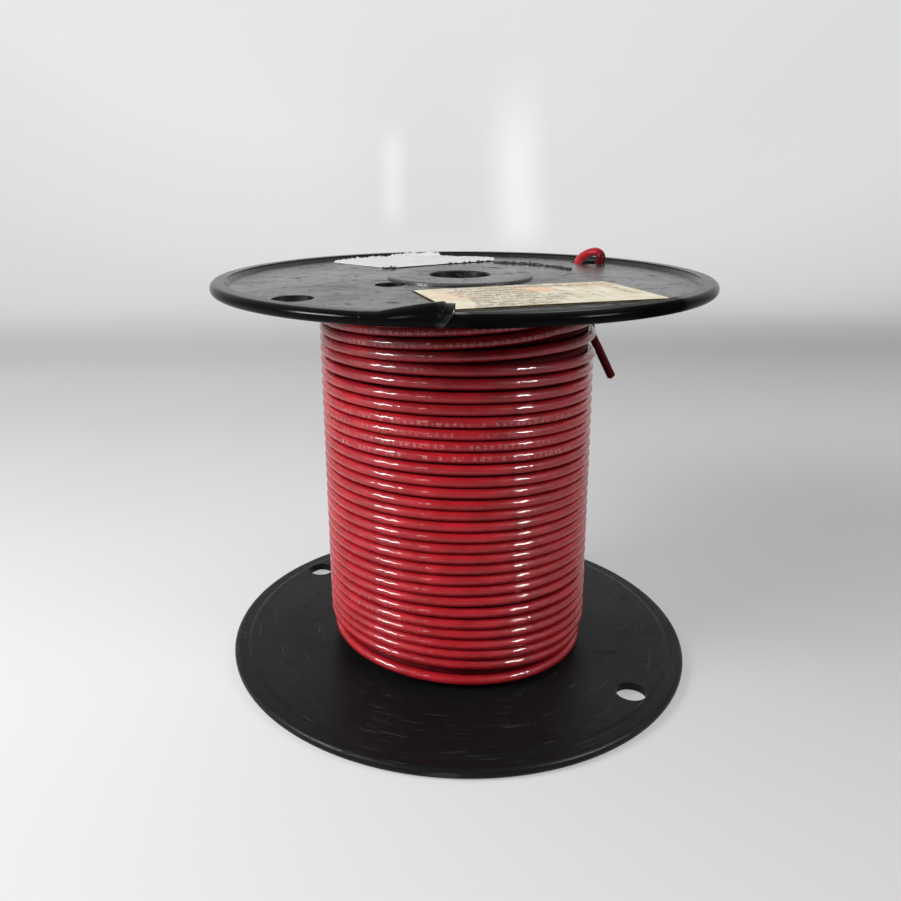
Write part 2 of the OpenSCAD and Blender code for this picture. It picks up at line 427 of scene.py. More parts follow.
def buildInsulation(name, paintsShade):
    material, tree = newMaterial(name)
    along = attributeOf(tree, "along")
    cosine, sine = attributeOf(tree, "around", "Vector").split()[:2]
    # A vector that runs with the wire: along it, and round it
    ringSize = insulation["ringSize"]
    wirePoint = joinVector(along, cosine * ringSize, sine * ringSize)
    # Nought where the wire faces away from the drum
    turn = (sine * -1.0).calc("ARCTAN2", cosine * -1.0)
    tone = wirePoint.clouds(90.0, 3.0, 0.6)
    color = tone.step(0.3, 0.75).blend(insulation["deepRed"], insulation["red"])
    coat, shine = insulation["coat"], insulation["shine"]
    if paintsShade:
        # Painted shade: the far end, which lies in shadow from the top of the loop on, is drawn
        # dark red, and its coat and shine are turned down
        aged = attributeOf(tree, "aged")
        color = aged.blend(color, insulation["shadedRed"])
        coat = aged.scaled(insulation["shadedCoat"] - coat, coat)
        shine = aged.scaled(insulation["shadedShine"] - shine, shine)
    else:
        # Worn print: rows of short uneven dashes, without letters
        cells = along * (1 / insulation["dashLength"])
        chance = ((cells.calc("FLOOR") * 12.9898).calc("SINE") * 43758.5).calc("FRACT")
        dash = cells.calc("FRACT").calc("LESS_THAN", chance.scaled(0.45, 0.3))
        dash = dash * chance.calc("GREATER_THAN", 0.16)
        worn = wirePoint.clouds(1500.0, 3.0, 0.75).step(0.44, 0.6)
        band = (turn - attributeOf(tree, "printAt")).calc("ABSOLUTE").step(*insulation["bandHalf"])
        mask = attributeOf(tree, "printed") * band * (dash * worn)
        color = (mask * 0.75).blend(color, insulation["print"])
        # Bent and whitened stretches
        haze = objectPoint(tree).clouds(900.0, 4.0, 0.7, 1.5).step(0.42, 0.62)
        color = (attributeOf(tree, "stained") * haze).blend(color, insulation["haze"])
    # Lay of the strands and small dents
    strands = insulation["strandsShown"]
    lay = (turn * strands - along * (2 * math.pi * strands / insulation["layLength"])).calc("SINE")
    normal = lay.bump(1.0, insulation["ripple"])
    normal = wirePoint.clouds(310.0, 1.0, 0.4).bump(1.0, insulation["dent"], normal)
    return finishMaterial(material, {
        "Base Color": color, "Coat Weight": coat, "Coat Roughness": 0.035, "Coat IOR": 1.45,
        "Specular IOR Level": shine, "Normal": normal, "Coat Normal": normal,
        "Roughness": wirePoint.clouds(420.0, 3.0, 0.65).step(0.35, 0.7, 0.4, 0.55)})


# The free end: off the drum, up through the tail hole, over in a loop, down again and out
freeEnd = {
    "points": [
        (12, 44.8, 129.6), (19.5, 45, 129), (27, 44.8, 127.2), (34, 44.4, 125.2),
        (40.2, 44.4, 124.4), (44.9, 45, 126), (47.8, 46, 128.6), (48.9, 46.7, 131.4),
        (49.6, 47.3, 134.2), (50.9, 47.5, 136), (52.6, 47.2, 137.2), (54.4, 46.7, 138),
        (56.1, 46, 138.2), (57.4, 45.4, 137.4), (57.8, 44.9, 136.1), (57.4, 44.5, 134.7),
        (56.8, 44.2, 133.2), (56.2, 43.8, 131.2), (55.8, 43.2, 126.5), (55, 43, 119),
        (54.6, 43, 112), (55.6, 43, 106.3), (58.3, 43, 100.9), (60.7, 43, 96.2),
        (62.7, 43, 92.3)],
    "steps": 6,
    "sides": 20,
    "shadeFrom": 0.5,          # share of the length where the painted shade starts
    "shadeFast": 12,
}


def smoothLine(knots, steps):
    # Catmull-Rom curve through all knots but the first and the last
    points = []
    for i in range(1, len(knots) - 2):
        a, b, c, d = (Vector(knots[j]) for j in (i - 1, i, i + 1, i + 2))
        for s in range(steps):
            t = s / steps
            points.append(0.5 * (2 * b + (c - a) * t + (2 * a - 5 * b + 4 * c - d) * t * t
                                 + (3 * b - a - 3 * c + d) * t ** 3))
    points.append(Vector(knots[-2]))
    return points


last = leavingPoint(0)
leadOut = (last - leavingPoint(1)).normalized() * spool["wire"]
tailStart = last + leadOut


def buildFreeEnd():
    stops = [Vector(p) for p in freeEnd["points"]]
    way = (stops[-1] - stops[-2]).normalized() * spool["wire"]
    knots = [tailStart, tailStart + leadOut] + stops + [stops[-1] + way]
    line = [tailStart] + smoothLine(knots, freeEnd["steps"]) + [stops[-1] + way]
    line = [p * mm for p in line]
    length = sum((b - a).length for a, b in zip(line, line[1:]))
    share = np.arange(len(line)) / len(line)
    # painted shade along the free end, from the top of the loop on
    aged = np.clip((share - freeEnd["shadeFrom"]) * freeEnd["shadeFast"], 0, 1)
    piece = addWire("wireTail", "wire_tail", line, freeSweep, freeEnd["sides"],
                    buildInsulation("agedInsulation", True), aged=aged)
    print("free end built, %.1f mm long" % (length / mm))


buildFreeEnd()

# The outermost turns as they lie, from the bottom: height at the front, and how far the turn
# rises towards +X. The wire climbs clockwise seen from above.
winding = {
    "front": [8.2, 14.75, 18.6, 22.1, 25.9, 29.5, 33.5, 37.6, 41.3, 45.0, 48.7, 52.4, 55.96,
              59.6, 63.3, 67.0, 70.5, 74.4, 78.1, 82.0, 85.9, 89.6, 93.26, 97.07, 100.9, 104.7,
              108.9, 112.95, 117.3, 121.35, 125.2],
    "tilt": [-1.2, -1.65, -1.2, -0.9, -0.5, -0.2, 0.0, 0.5, 0.8, 0.9, 0.65, 0.52, 0.47, 0.4,
             0.4, 0.2, 0.0, -0.1, -0.13, -0.05, -0.05, -0.03, -0.03, 0.17, 0.15, 0.22, 0.18,
             0.17, 1.67, 2.7, 2.96],
    "ringsPerTurn": 96,
    "sides": 18,
    "radius": 44.55,
    "bottomRadius": 43.4,
    "bottomTurns": 1.15,      # turns that lie at that radius or run out to the others
    "endGap": 0.1,            # over the bottom flange and under the top one
    "tightest": 3.34,         # least pitch between two turns
    "lastPitch": 3.6,         # of the turn that leads to the free end
    "wobble": 0.12,
    "swell": 0.35,            # the turns lie a little outside the drum line
    "lean": 1.15,             # towards -X at the top
    "leanFrom": 32,
    "leanOver": 96,
    "lower": 0.2,
    # How far the turns sag on either side: drop, degrees to its full depth, depth and power
    "leftSag": (1.3, 70, 1.0, 2.0),
    "rightSag": (1.55, 67, 1.05, 1.5),
    "leftFade": ((26.5, 28, 29), (1, 0.5, 0)),
    "rightFade": ((26.6, 27.5), (1, 0)),
    # Turns that are pushed apart on the right near the top: turn, and how far up it goes
    "rises": ((26.83, -0.4), (27.8, -0.4), (28.8, 1.6)),
    "riseReach": 0.1,
    # Kinked and whitened turns: direction and height, how far they reach, depth and waves
    "kinkAt": (-12, 113),
    "kinkReach": (9, 7),
    "kinkDepth": 0.7,
    "kinkWaves": 1.2,
    "endBlend": 0.24,         # share of the last turn that runs into the free end
    "underDrop": 1.9,         # how far the first half turn dives into the layer below
    # Turns that carry print: turn, from and to directions, strength, place round the wire
    "print": [(30, -55, -132, 0.85, -0.15), (29, -50, -142, 1.0, -0.2),
              (27, -105, -140, 0.4, 0.1), (23, -42, -146, 1.0, -0.25),
              (22, -60, -150, 0.55, 0.1), (21, -55, -150, 0.8, 0.1), (20, -42, -152, 0.9, 0.1),
              (6, -112, -150, 0.4, 0.1), (5, -116, -146, 0.45, 0.1)],
}


def sagShape(away, reach, full, power):
    # How deep a turn sags at some degrees from the front: fully at the side, and not behind
    behind = np.cos(np.radians(np.clip(away - 90, 0, 90))) ** 2
    shape = np.where(away < 90, np.minimum(away / reach, full) ** power, full ** power * behind)
    return (shape * (away < 180))[None, :]


def turnHeights():
    # One row for each turn and one column for each direction, from -90 degrees clockwise
    rings = winding["ringsPerTurn"]
    front, count = winding["front"], len(winding["front"])
    turns = np.arange(count)
    share = np.arange(rings) / rings
    s = turns[:, None] + share[None, :]
    level = np.interp(s, np.append(turns, count), front + [front[-1] + winding["lastPitch"]])
    tilt = np.interp(s, turns, winding["tilt"])
    z = level + tilt * np.cos(np.radians(-90 - 360 * share)[None, :])
    for side, degrees in (("left", 360 * share), ("right", 360 - 360 * share)):
        drop, reach, full, power = winding[side + "Sag"]
        fade = np.interp(s, *winding[side + "Fade"])
        z = z - drop * sagShape(degrees, reach, full, power) * fade
    for turn, rise in winding["rises"]:
        z = z + rise * np.exp(-((s - turn) / winding["riseReach"]) ** 2)
    z = z - winding["lower"]
    z[-1] = np.minimum(z[-1], spool["height"] - lowestTurn(winding["endGap"]))
    return s, z


def settle(z, low, high, gap):
    # Pushes turns apart where they would lie in each other
    for _ in range(60):
        push = np.maximum(gap - (z[1:] - z[:-1]), 0) / 2
        z[:-1] -= push
        z[1:] += push
        z[:] = np.clip(z, low, high)
    return z


def easeIn(share):
    return share * share * (3 - 2 * share)


def buildWinding():
    s, z = turnHeights()
    low = lowestTurn(winding["endGap"])
    z = settle(z, low, spool["height"] - low, winding["tightest"]).ravel()
    # The first half turn comes out of the layer below, behind
    early = np.arange(-winding["ringsPerTurn"] // 2, 0) / winding["ringsPerTurn"]
    s = np.append(early, s.ravel())
    z = np.append(np.interp(early, (-0.5, -0.2, 0), (low, low, z[0])), z)
    # The last turn ends where the free end starts
    leave = math.degrees(math.atan2(last.y, last.x))
    end = len(winding["front"]) + (-90 - leave) / 360
    keep = s < end - 0.004
    s, z = s[keep], z[keep]
    angle = -90 - 360 * s
    a = np.radians(angle)
    share = winding["endBlend"]
    blend = easeIn(np.clip((s - (end - share)) / share, 0, 1))
    z = z * (1 - blend) + last.z * blend
    wobble = np.array([noise.noise(Vector((v * 1.7, 3.1, 0))) for v in s])
    lean = winding["lean"] * (z - winding["leanFrom"]) / winding["leanOver"] * np.cos(a)
    turned = (angle + 180) % 360 - 180
    kink = np.exp(-((turned - winding["kinkAt"][0]) / winding["kinkReach"][0]) ** 2
                  - ((z - winding["kinkAt"][1]) / winding["kinkReach"][1]) ** 2)
    waves = np.sin(s * 2 * math.pi * winding["kinkWaves"])
    radius = winding["radius"] + (1 - blend) * (
        wobble * winding["wobble"] + winding["swell"] - lean + winding["kinkDepth"] * kink * waves)
    bottom = easeIn(np.clip((winding["bottomTurns"] - s) / 0.5, 0, 1))
    radius -= (winding["radius"] - winding["bottomRadius"]) * bottom
    radius -= winding["underDrop"] * np.clip((-0.32 - s) / 0.18, 0, 1)
    printed, printAt = np.zeros_like(s), np.zeros_like(s)
    for turn, right, left, strength, place in winding["print"]:
        here = (s > turn + (-90 - right) / 360) & (s < turn + (-90 - left) / 360)
        printed[here], printAt[here] = strength, place
    line = np.stack([radius * np.cos(a), radius * np.sin(a), z], 1)
    line = np.vstack([line, np.array(last), np.array(tailStart)]) * mm
    addWire("outerTurns", "outer_turns", line, windingSweep, winding["sides"],
            buildInsulation("redInsulation", False), printed=np.append(printed, [0, 0]),
            printAt=np.append(printAt, [0, 0]),
            stained=np.append(np.clip(kink * 1.6, 0, 1), [0, 0]))
    print("winding built, %d points" % len(line))


buildWinding()

# The next layer down, which shows in the gaps
core = {
    "turns": 36,
    "steps": 72,
    "sides": 10,
    "radius": 41.69,
    "from": 20,               # degrees
    "endGap": 0.05,
    # painted shade: the wire's red, darkened for the shadow in the gaps
    "dark": (0.05, 0.001, 0.003, 1.0),
    "pale": (0.13, 0.002, 0.005, 1.0),
}


def buildCore():
    low = lowestTurn(core["endGap"])
    s = np.arange(core["turns"] * core["steps"] + 1) / core["steps"]
    a = np.radians(core["from"] - 360 * s)
    z = low + (spool["height"] - 2 * low) * s / core["turns"]
    line = np.stack([core["radius"] * np.cos(a), core["radius"] * np.sin(a), z], 1) * mm
    material, tree = newMaterial("shadedInsulation")
    tone = objectPoint(tree).clouds(200.0, 3.0, 0.6)
    # Painted shade: the layer below is drawn in a dark red for the deep shadow in the gaps, and
    # made rough and dull
    finishMaterial(material, {"Base Color": tone.blend(core["dark"], core["pale"]),
                              "Roughness": 0.6, "IOR": 1.12})
    addWire("innerTurns", "inner_turns", line, windingSweep, core["sides"], material)
    print("core built")


buildCore()

# Black plastic of the spool, scuffed on the top and cleaner at the bottom
plastic = {
    "top": {"film": 0.1, "rough": 0.2, "wear": 1.0, "ior": 1.5},
    "base": {"film": 0.02, "rough": 0.34, "wear": 0.5, "ior": 1.22},
    "black": (0.0055, 0.0055, 0.006, 1.0),
    "film": (0.055, 0.054, 0.05, 1.0),
    "scratch": (0.085, 0.085, 0.087, 1.0),
    "smudge": (0.004, 0.004, 0.004, 1.0),
    "hubRingPale": (0.16, 0.16, 0.155, 1.0),
    # painted shade: a deeper black for the bead and the stretch in front of the label
    "shadedBeadBlack": (0.003, 0.003, 0.0035, 1.0),
    "beadShine": 0.045,
    "glint": (1.0, 0.985, 0.95, 1.0),
    "webEdge": (0.0776, 0.0768),
    "faceFrom": 0.12,         # above this height lies the outer face
    "hubEdge": 0.0246,
    "hubFrom": 0.1348,
    "hubRingShare": 0.35,
    # The stretch of web in front of the label, painted as shade: its own two directions, each with
    # an offset
    "outward": (0.2697, -0.963, -0.0628),
    "beside": (0.963, 0.2697, 0.0249),
    # how much shine the painted shade stretch loses
    "shadowPatchDullness": 0.95,
}


def buildPlastic(name, look, onTop):
    material, tree = newMaterial(name)
    point = objectPoint(tree)
    x, y, z = point.split()
    radius = axisDistance(x, y)
    wear, shine = look["wear"], 0.5
    if onTop:
        # The bead is cleaner than the web, and its black is painted deeper as shade
        onWeb = radius.step(*plastic["webEdge"])
        wear = onWeb * wear
        # Painted shade: a black stretch of the web in front of the label, with its shine taken
        # off, for the shade under the label's edge
        out, beside = (x.scaled(a, y.scaled(b, c))
                       for a, b, c in (plastic["outward"], plastic["beside"]))
        dull = (out.step(-0.001, 0.0) * (beside.step(-0.003, 0.001) * beside.step(0.068, 0.062))
                * (z.calc("GREATER_THAN", plastic["faceFrom"]) * out.step(0.02, 0.016)))
        shine = (onWeb.scaled(shine - plastic["beadShine"], plastic["beadShine"])
                 * dull.scaled(-plastic["shadowPatchDullness"], 1.0))
    film = point.through(grime, Scale=42.0, Low=0.4, High=0.72)["Mask"]
    spots = point.through(grime, Scale=210.0, Low=0.56, High=0.66)["Mask"]
    lines = point.through(scratches, Across=1300.0, Along=3.5, Limit=0.64)
    # Short strokes that run every way
    strokes = addSignal(tree, "ShaderNodeMapping", {
        "Vector": point, "Rotation": (0.0, 0.0, 0.5), "Scale": (70.0, 620.0, 300.0)})
    strokes = strokes.clouds(1.0, 3.0, 0.65, 1.2).step(0.62, 0.68)
    color = (film * look["film"]).blend(plastic["black"], plastic["film"])
    color = (lines["Mask"] * (wear * 0.5)).blend(color, plastic["scratch"])
    color = (spots * 0.6).blend(color, plastic["smudge"])
    rough = film.scaled(0.14, look["rough"])
    if onTop:
        # The step round the hub is drawn paler
        step = (radius - plastic["hubEdge"]).calc("ABSOLUTE").step(0.0009, 0.0002)
        step = step * z.calc("GREATER_THAN", plastic["hubFrom"])
        color = (step * plastic["hubRingShare"]).blend(color, plastic["hubRingPale"])
        # painted shade: the bead and the stretch in front of the label take the deeper black
        color = onWeb.blend(plastic["shadedBeadBlack"], color)
        color = dull.blend(color, plastic["shadedBeadBlack"])
        rough = rough * onWeb.scaled(0.4, 0.6)
    rough = (strokes * 0.45).scaled(wear, rough)
    rough = (spots * 0.3).scaled(wear, rough)
    normal = point.clouds(60.0, 2.0, 0.5).bump(0.5, 0.0001)
    normal = point.clouds(2400.0, 2.0, 0.5).bump(0.25, 0.00004, normal)
    normal = strokes.scaled(-1.0, lines["Height"]).bump(wear * 0.3, 0.00006, normal)
    return finishMaterial(material, {
        "Base Color": color, "Roughness": rough, "Normal": normal, "IOR": look["ior"],
        "Specular IOR Level": shine, "Specular Tint": plastic["glint"]})


def paint(name, material):
    if not nodes[name].data.materials:
        nodes[name].data.materials.append(material)
    for slot in nodes[name].material_slots:
        slot.link = "OBJECT"
        slot.material = material


basePlastic = buildPlastic("basePlastic", plastic["base"], False)
paint("top_flange", buildPlastic("topPlastic", plastic["top"], True))
paint("bottom_flange", basePlastic)
paint("barrel", basePlastic)

copper = {
    "bright": (0.78, 0.36, 0.2, 1.0),
    "tarnished": (0.32, 0.13, 0.07, 1.0),
}


def buildCopper():
    material, tree = newMaterial("bareCopper")
    dull = objectPoint(tree).through(grime, Scale=900.0, Low=0.35, High=0.7)["Mask"]
    return finishMaterial(material, {
        "Base Color": dull.blend(copper["bright"], copper["tarnished"]), "Metallic": 1.0,
        "Roughness": dull.scaled(0.25, 0.25)})


paint("tail_conductor", buildCopper())
print("spool painted")

# The paper label: its corners go round from the one nearest the hub on the left
label = {
    "corners": ((-16.2, -33.0), (45.2, -14.8), (56.2, -49.5), (-7.0, -67.2)),
    "size": (62.0, 36.0),
    "rightBow": 2.6,          # how far the right edge bulges out
    "thick": 0.15,
    "cells": (84, 48),
    "clear": 0.08,            # over the flange
    "lift": 0.12,             # at the edges that curl
    "flatter": 0.35,          # share of that curl along the far edge
    "cream": (0.60, 0.54, 0.39, 1.0),
    "creamPale": (0.70, 0.66, 0.53, 1.0),
    "ink": (0.15, 0.12, 0.10, 1.0),
    "violet": (0.32, 0.28, 0.42, 1.0),
    "peach": (0.72, 0.42, 0.26, 1.0),
    "brown": (0.33, 0.21, 0.10, 1.0),
    "edge": (0.15, 0.12, 0.04, 1.0),
    "rows": 9.0,              # of dashes, from the front edge back
    "rules": ((0.62, 0.9), (0.64, 0.7), (0.735, 0.8), (0.79, 0.85)),    # place and strength
    "ruleWide": 0.009,
    "gumCells": (60, 36),
    "creep": 2.2,             # how far the gum and its painted shade reach out at the front
    # gum colours darkened as painted shade, for the shade under the label's front edge
    "gumShadeDark": (0.02, 0.019, 0.012, 1.0),
    "gumShadePale": (0.07, 0.063, 0.03, 1.0),
}


def sheetMesh(name, cells, place):
    # A sheet of quads with its UV map. place gives the point for u and v, in millimetres
    cellsU, cellsV = cells
    row = cellsU + 1
    uvs = [(i / cellsU, j / cellsV) for j in range(cellsV + 1) for i in range(row)]
    faces = [(a, a + 1, a + row + 1, a + row)
             for j in range(cellsV) for a in range(j * row, j * row + cellsU)]
    mesh = newMesh(name, [Vector(place(u, v)) * mm for u, v in uvs], faces)
    layer = mesh.uv_layers.new(name="sheet")
    for loop in mesh.loops:
        layer.data[loop.index].uv = uvs[loop.vertex_index]
    return mesh


def addPaper(name, mesh, material, thick, nodeName):
    piece = addPiece(name, mesh, material)
    solid = piece.modifiers.new("thickness", "SOLIDIFY")
    solid.thickness = thick * mm
    solid.offset = 1.0
    solid.use_even_offset = False
    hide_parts(nodeName)


def buildLabelPaper():
    material, tree = newMaterial("labelPaper")
    grain = objectPoint(tree).through(paperGrain, Scale=900.0)
    u, v = addSignal(tree, "ShaderNodeUVMap", uv_map="sheet").split()[:2]
    long, wide = label["size"]
    sheetPoint = joinVector(u * long, v * wide, 0.0)

    def inside(value, low, high, soft):
        return (value.step(low - soft, low + soft)
                * value.step(high - soft, high + soft, 1.0, 0.0))

    def patch(uLow, uHigh, vLow, vHigh, soft):
        return inside(u, uLow, uHigh, soft) * inside(v, vLow, vHigh, soft)

    tone = sheetPoint.clouds(0.11, 3.0, 0.6).step(0.35, 0.65)
    color = tone.blend(label["cream"], label["creamPale"])
    fade = sheetPoint.clouds(0.5, 3.0, 0.7).step(0.38, 0.6)
    # A stain of peach colour, a streak, brown near the far edge and a violet rule
    brown = patch(0.7, 0.97, 0.78, 0.94, 0.03).calc("MAXIMUM", patch(0.9, 0.96, 0.3, 0.8, 0.03))
    for mask, tint in ((patch(0.05, 0.2, 0.4, 0.85, 0.05) * 0.4, "peach"),
                       (patch(0.45, 0.63, 0.58, 0.9, 0.05) * fade.scaled(0.6, 0.4), "peach"),
                       (brown * (fade * 0.9), "brown"),
                       (patch(0.07, 0.2, 0.9, 0.925, 0.006) * 0.85, "violet")):
        color = mask.blend(color, label[tint])
    # Rows of worn dashes stand for the print, without any letters
    lines = sheetPoint.clouds(0.3, 2.0, 0.6).scaled(1.1, v * label["rows"])
    row = lines.calc("FLOOR")
    seed = (row.scaled(17.31, 2.7).calc("SINE") * 917.43).calc("FRACT")
    letters = joinVector(u * 115.0, row * 7.7, v * 40.0).clouds(1.0, 2.0, 0.8)
    dashes = letters.step(0.4, 0.5) * inside(lines.calc("FRACT"), 0.1, 0.85, 0.12)
    area = (u.calc("GREATER_THAN", seed.scaled(0.1, 0.1))
            * u.calc("LESS_THAN", (seed * seed).scaled(0.4, 0.48)))
    worn = sheetPoint.clouds(0.35, 4.0, 0.7).step(0.36, 0.5)
    color = (dashes * area * (worn * 0.9)).blend(color, label["ink"])
    # A few rules across the right part
    for at, strength in label["rules"]:
        rule = patch(at, at + label["ruleWide"], 0.18, 0.9, 0.003) * (fade * strength)
        color = rule.blend(color, label["ink"])
    # A dark olive band drawn in along the edges
    rim = (u * long).calc("MINIMUM", u.scaled(-long, long)).calc(
        "MINIMUM", (v * wide).calc("MINIMUM", v.scaled(-wide, wide)))
    rim = sheetPoint.clouds(0.9, 3.0, 0.6).scaled(-0.5, rim)
    color = rim.step(0.25, -0.2, 0.0, 0.9).blend(color, label["edge"])
    color = grain["Tone"].step(0.35, 0.65, 0.0, 0.12).blend(color, label["brown"])
    return finishMaterial(material, {"Base Color": color, "Roughness": 0.55,
                                     "Normal": grain["Height"].bump(0.4, 0.00005)})


def buildLabel():
    a, b, c, d = (Vector(p + (0,)) for p in label["corners"])
    side = (b - c).cross(Vector((0, 0, 1))).normalized()
    long, wide = label["size"]

    def place(u, v):
        right = c.lerp(b, v) + side * label["rightBow"] * v * (1 - v)
        p = d.lerp(a, v).lerp(right, u)
        edge = min(u * long, (1 - u) * long, v * wide, (1 - v) * wide)
        curl = math.exp(-edge / 1.6) * (0.55 + 0.45 * noise.noise(p * 0.09))
        curl *= 1.0 if v < 0.5 or u < 0.2 or u > 0.8 else label["flatter"]
        z = faceHeight(p.length) + label["clear"] + label["lift"] * curl
        z += 0.04 * (1 + noise.noise(p * 0.11 + Vector((3, 0, 0))))
        z += 0.02 * (1 + noise.noise(p * 0.45))
        return p.x, p.y, z

    # Rows run from the front edge back, so the faces already look up
    addPaper("labelSheet", sheetMesh("labelSheet", label["cells"], place),
             buildLabelPaper(), label["thick"], "product_label")


def buildLabelGumShade():
    # Old gum along the front and the left edge, drawn dark to also paint the shade under the
    # label's edge
    material, tree = newMaterial("labelGumShade")
    tone = objectPoint(tree).clouds(300.0, 3.0, 0.6).step(0.35, 0.65)
    finishMaterial(material, {"Base Color": tone.blend(label["gumShadeDark"], label["gumShadePale"]),
                              "Roughness": 0.75, "IOR": 1.2})
    a, b, c, d = (Vector(p + (0,)) for p in label["corners"])
    along, across = (c - d).normalized(), (a - d).normalized()

    def place(u, v):
        out = label["creep"] * (0.8 + 0.4 * noise.noise(Vector((u * 9, v * 9, 4))))
        left = (d - across * out).lerp(a, v) - along * 0.3 * out
        right = (c - across * out).lerp(b, v) - along * 1.5
        p = left.lerp(right, u)
        return p.x, p.y, faceHeight(p.length) + 0.06

    addPiece("labelGumShade", sheetMesh("labelGumShade", label["gumCells"], place), material)


buildLabel()
buildLabelGumShade()
print("label laid")

# What is left of the older label, and the gum that it left behind
torn = {
    "from": 71.9,
    "to": 132.0,
    "cells": (190, 26),
    "near": (-24.0, 26.4),
    "right": (17.0, 51.6),
    "edge": ((71.9, 56), (72.6, 60), (73.9, 66), (75.5, 67.5), (77.3, 68.8), (80.7, 70.8),
             (86.6, 70.5), (89.2, 73.1), (91.7, 76), (93.3, 78), (94.4, 78.8), (95.5, 79.5),
             (97.1, 78.8), (99.3, 77.9), (101.8, 77.5), (104.4, 77.2), (108.3, 76.9),
             (117.2, 76.3), (121.2, 76.4), (125.4, 75.6), (128, 74), (130, 71.5), (132, 68.8)),
    "thick": 0.15,
    "fibres": 0.35,           # how high they are lifted along the tear
    "proud": 0.12,            # of the straight edges
    "white": (0.64, 0.65, 0.63, 1.0),
    "shade": (0.36, 0.37, 0.36, 1.0),
    "glue": (0.20, 0.17, 0.05, 1.0),
    "glueShift": (0.0235, -0.0266),    # brings the spot of glue to the centre
    "glueReach": (0.0062, 0.0035),
}


def crossRay(angle, first, second):
    # Distance from the centre to the line through two points, in the direction of an angle
    a = math.radians(angle)
    x1, y1 = first
    dx, dy = second[0] - x1, second[1] - y1
    return (x1 * dy - y1 * dx) / (math.cos(a) * dy - math.sin(a) * dx)


def tearEdge(angle):
    jag = sum(noise.noise(Vector((angle * often, at, 0))) * depth
              for often, at, depth in ((0.9, 7.7, 0.6), (2.9, 1.2, 0.5), (7.1, 4.2, 0.3)))
    return float(np.interp(angle, *zip(*torn["edge"]))) + jag


def buildTornPaper():
    material, tree = newMaterial("tornPaper")
    point = objectPoint(tree)
    grain = point.through(paperGrain, Scale=1100.0)
    marks = point.through(grime, Scale=160.0, Low=0.5, High=0.75)["Mask"]
    color = (marks * 0.5).blend(torn["white"], torn["shade"])
    x, y = point.split()[:2]
    away = axisDistance(x + torn["glueShift"][0], y + torn["glueShift"][1])
    away = point.clouds(500.0).scaled(0.003, away)
    color = away.step(*torn["glueReach"]).blend(color, torn["glue"])
    color = grain["Tone"].step(0.3, 0.7, 0.0, 0.25).blend(color, torn["shade"])
    return finishMaterial(material, {"Base Color": color, "Roughness": 0.75,
                                     "Normal": grain["Height"].bump(0.5, 0.00008)})


def buildTornLabel():
    def place(u, v):
        angle = torn["to"] + (torn["from"] - torn["to"]) * u
        outer = tearEdge(angle)
        inner = min(crossRay(angle, torn["near"], torn["right"]), outer - 0.3)
        r = inner + (outer - inner) * v
        r += 0.12 * noise.noise(Vector((angle * 1.5, 0.3, 5))) * (1 - v)
        x, y = r * math.cos(math.radians(angle)), r * math.sin(math.radians(angle))
        z = faceHeight(r) + 0.02 + 0.06 * (1 + noise.noise(Vector((x, y, 0)) * 0.2))
        rough = max(0.0, noise.noise(Vector((angle * 1.3, 9.1, 0))) + 0.25)
        z += torn["fibres"] * math.exp(-(outer - r) / 0.9) * rough
        return x, y, z + torn["proud"] * math.exp(-(r - inner) / 1.2)

    addPaper("tornSheet", sheetMesh("tornSheet", torn["cells"], place),
             buildTornPaper(), torn["thick"], "torn_label")


gum = {
    "seed": 11,
    "angles": (25.5, 35, 42, 47.4, 53.8, 59.4, 64.5, 70),
    "radii": (46.2, 46.0, 47.0, 48.0, 47.9, 48.1, 47.4, 48.2),
    "flakes": 130,
    "flakeSize": 0.55,
    "bare": -0.33,            # below this level of noise no flake lies
    "specks": 9,
    "lumps": 16,
    "dark": (0.006, 0.006, 0.005, 1.0),
    "pale": (0.024, 0.021, 0.012, 1.0),
}


def buildOldGum():
    material, tree = newMaterial("oldGum")
    tone = objectPoint(tree).clouds(700.0, 3.0, 0.7)
    return finishMaterial(material, {
        "Base Color": tone.step(0.35, 0.65).blend(gum["dark"], gum["pale"]), "Roughness": 0.5,
        "Normal": tone.bump(0.5, 0.0002)})


def buildFlakes():
    # Scatters small flakes on points, each turned and sized by chance
    tree, into = newShape("gumFlakes", {"Flake Size": "Float", "Seed": "Int"})

    def chance(low, high):
        return addSignal(tree, "FunctionNodeRandomValue", {
            0: low, 1: high, "Seed": into["Seed"]}, data_type="FLOAT_VECTOR")

    flake = addSignal(tree, "GeometryNodeMeshIcoSphere", {
        "Radius": into["Flake Size"], "Subdivisions": 2})
    wave = addSignal(tree, "ShaderNodeTexNoise", {"Scale": 900.0, "Detail": 2.0}, "Color")
    offset = addSignal(tree, "ShaderNodeVectorMath", {0: wave, "Scale": 0.0005},
                       operation="SCALE")
    bent = addSignal(tree, "GeometryNodeSetPosition", {"Geometry": flake, "Offset": offset})
    heading = addSignal(tree, "GeometryNodeInputNamedAttribute", {"Name": "heading"},
                        data_type="FLOAT")
    lean = addSignal(tree, "ShaderNodeCombineXYZ", {2: heading})
    turn = addSignal(tree, "ShaderNodeVectorMath", {
        0: lean, 1: chance((-0.12, -0.12, -0.5), (0.12, 0.12, 0.5))})
    spread = addSignal(tree, "GeometryNodeInstanceOnPoints", {
        "Points": into["Geometry"], "Instance": bent, "Rotation": turn,
        "Scale": chance((0.7, 0.4, 0.35), (2.0, 1.2, 1.1))})
    return closeShape(tree, spread, into["Material"])


